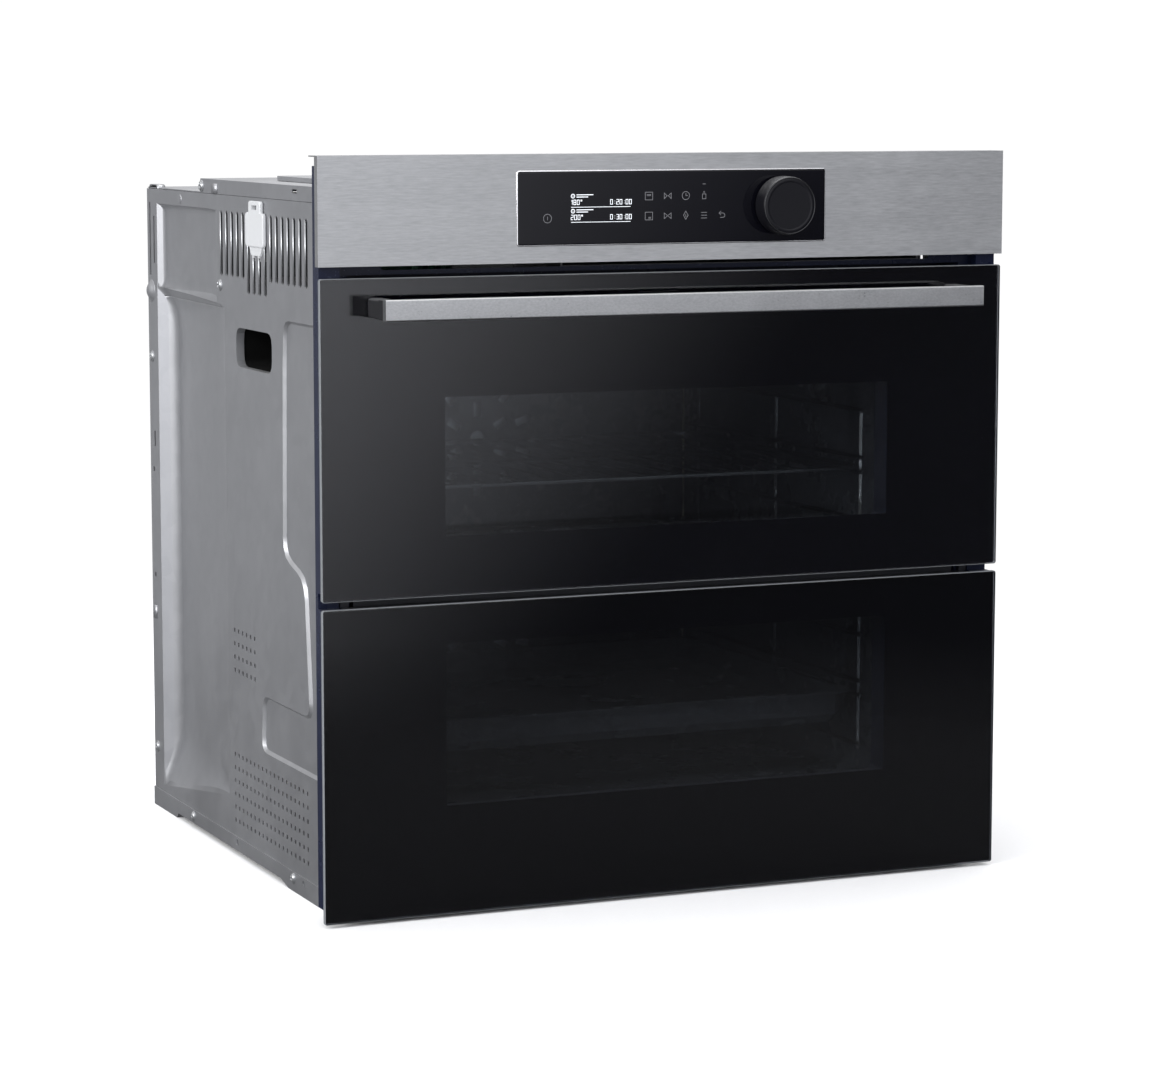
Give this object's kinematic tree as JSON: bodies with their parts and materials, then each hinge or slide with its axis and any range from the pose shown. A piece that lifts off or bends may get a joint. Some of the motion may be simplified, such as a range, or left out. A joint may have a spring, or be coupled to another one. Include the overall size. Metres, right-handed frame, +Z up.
{
  "type": "wall oven",
  "caption": "Built-in electric oven with a two-part drop-down door, handle with release lever, rotary knob, divided cavity with racks, fans and heaters in a sheet-metal chassis",
  "frame": {"origin": "centre of the bounding box seen from above, at the underside of the base's feet", "axes": "+X to the right seen from the front, +Y from the front into the cabinet, +Z up"},
  "size_m": [0.596, 0.611, 0.599],
  "materials": {
    "galvanised_sheet": "satin",
    "navy_enamel": "gloss",
    "grey_enamel": "gloss",
    "mineral_wool": "matte",
    "brushed_front_steel": "brushed",
    "machine_steel": "satin",
    "zinc_steel": "satin",
    "chrome_wire": "polished",
    "heater_sheath": "matte",
    "fan_aluminium": "satin",
    "black_glass": "polished",
    "clear_glass": "polished",
    "black_plastic": "matte",
    "knob_plastic": "satin",
    "white_plastic": "satin",
    "circuit_board": "satin",
    "silicone": "matte"
  },
  "bodies": {
    "chassis": {"side_panel_left": "galvanised_sheet", "side_panel_right": "galvanised_sheet", "base_plate": "galvanised_sheet", "back_cover": "galvanised_sheet", "top_plate": "galvanised_sheet", "control_box_cover": "galvanised_sheet", "air_duct": "galvanised_sheet", "partition_plate": "galvanised_sheet", "cooling_fan_housing": "galvanised_sheet", "front_frame": "navy_enamel", "cavity_liner": "grey_enamel", "fan_cover": "grey_enamel", "divider_plate": "grey_enamel", "baking_tray": "grey_enamel", "insulation_blanket": "mineral_wool", "control_panel": "brushed_front_steel", "fan_motor_upper": "machine_steel", "fan_motor_lower": "machine_steel", "cooling_motor": "machine_steel", "lamp_holder": "machine_steel", "knob_encoder": "machine_steel", "hinge_receiver_left": "zinc_steel", "hinge_receiver_right": "zinc_steel", "hinge_arm_left": "zinc_steel", "hinge_arm_right": "zinc_steel", "side_rack_left": "chrome_wire", "side_rack_right": "chrome_wire", "wire_rack": "chrome_wire", "ring_heater_upper": "heater_sheath", "ring_heater_lower": "heater_sheath", "grill_element": "heater_sheath", "bottom_element": "heater_sheath", "control_glass": "black_glass", "lamp_glass": "clear_glass", "display_module": "black_plastic", "terminal_block": "black_plastic", "side_clip_left": "white_plastic", "control_board": "circuit_board", "power_board": "circuit_board", "door_gasket": "silicone"},
    "upper_fan": {"convection_fan_upper": "fan_aluminium"},
    "lower_fan": {"convection_fan_lower": "fan_aluminium"},
    "blower_wheel": {"cooling_fan": "black_plastic"},
    "encoder": {"encoder_shaft": "machine_steel"},
    "dial": {"knob": "knob_plastic"},
    "lower_door": {"lower_door_glass": "black_glass", "lower_door_frame": "navy_enamel", "lower_inner_glass": "clear_glass", "hinge_case_left": "zinc_steel", "hinge_case_right": "zinc_steel", "split_pin_left": "zinc_steel", "split_pin_right": "zinc_steel"},
    "upper_door": {"upper_door_glass": "black_glass", "upper_door_frame": "navy_enamel", "upper_inner_glass": "clear_glass", "handle_bar": "brushed_front_steel", "handle_carrier": "black_plastic"},
    "lever": {"handle_lever": "black_plastic"},
    "latch_left": {"latch_hook_left": "zinc_steel"},
    "latch_right": {"latch_hook_right": "zinc_steel"}
  },
  "joints": [
    {"name": "lower_door_hinge", "type": "hinge", "parent": "chassis", "child": "lower_door", "pos_m": [0, -0.2515, 0.016], "axis": [1, 0, 0], "range_deg": [0, 90], "stiffness_Nm_per_rad": 8, "springref_deg": -20.05},
    {"name": "upper_door_hinge", "type": "hinge", "parent": "lower_door", "child": "upper_door", "pos_m": [0, -0.255, 0.2615], "axis": [1, 0, 0], "range_deg": [0, 90], "stiffness_Nm_per_rad": 4, "springref_deg": -20.05},
    {"name": "handle_lever_pull", "type": "slide", "parent": "upper_door", "child": "lever", "axis": [0, -1, 0], "range_m": [0, 0.004]},
    {"name": "latch_left_lift", "type": "slide", "parent": "upper_door", "child": "latch_left", "axis": [0, 0, 1], "range_m": [0, 0.004], "stiffness_N_per_m": 300, "springref_m": -0.003},
    {"name": "latch_right_lift", "type": "slide", "parent": "upper_door", "child": "latch_right", "axis": [0, 0, 1], "range_m": [0, 0.004]},
    {"name": "knob_press", "type": "slide", "parent": "chassis", "child": "encoder", "axis": [0, 1, 0], "range_m": [0, 0.0015], "stiffness_N_per_m": 400, "springref_m": -0.001},
    {"name": "knob_turn", "type": "hinge", "parent": "encoder", "child": "dial", "pos_m": [0.0925, -0.2735, 0.557], "axis": [0, 1, 0], "continuous": true},
    {"name": "upper_fan_spin", "type": "hinge", "parent": "chassis", "child": "upper_fan", "pos_m": [0, 0.1765, 0.335], "axis": [0, 1, 0], "continuous": true},
    {"name": "lower_fan_spin", "type": "hinge", "parent": "chassis", "child": "lower_fan", "pos_m": [0, 0.1765, 0.16], "axis": [0, 1, 0], "continuous": true},
    {"name": "cooling_fan_spin", "type": "hinge", "parent": "chassis", "child": "blower_wheel", "pos_m": [0.06, 0.0365, 0.505], "axis": [0, 0, 1], "continuous": true}
  ],
  "couplings": [
    {"joint": "handle_lever_pull", "follows": "latch_left_lift", "ratio": 1},
    {"joint": "latch_right_lift", "follows": "latch_left_lift", "ratio": 1}
  ]
}
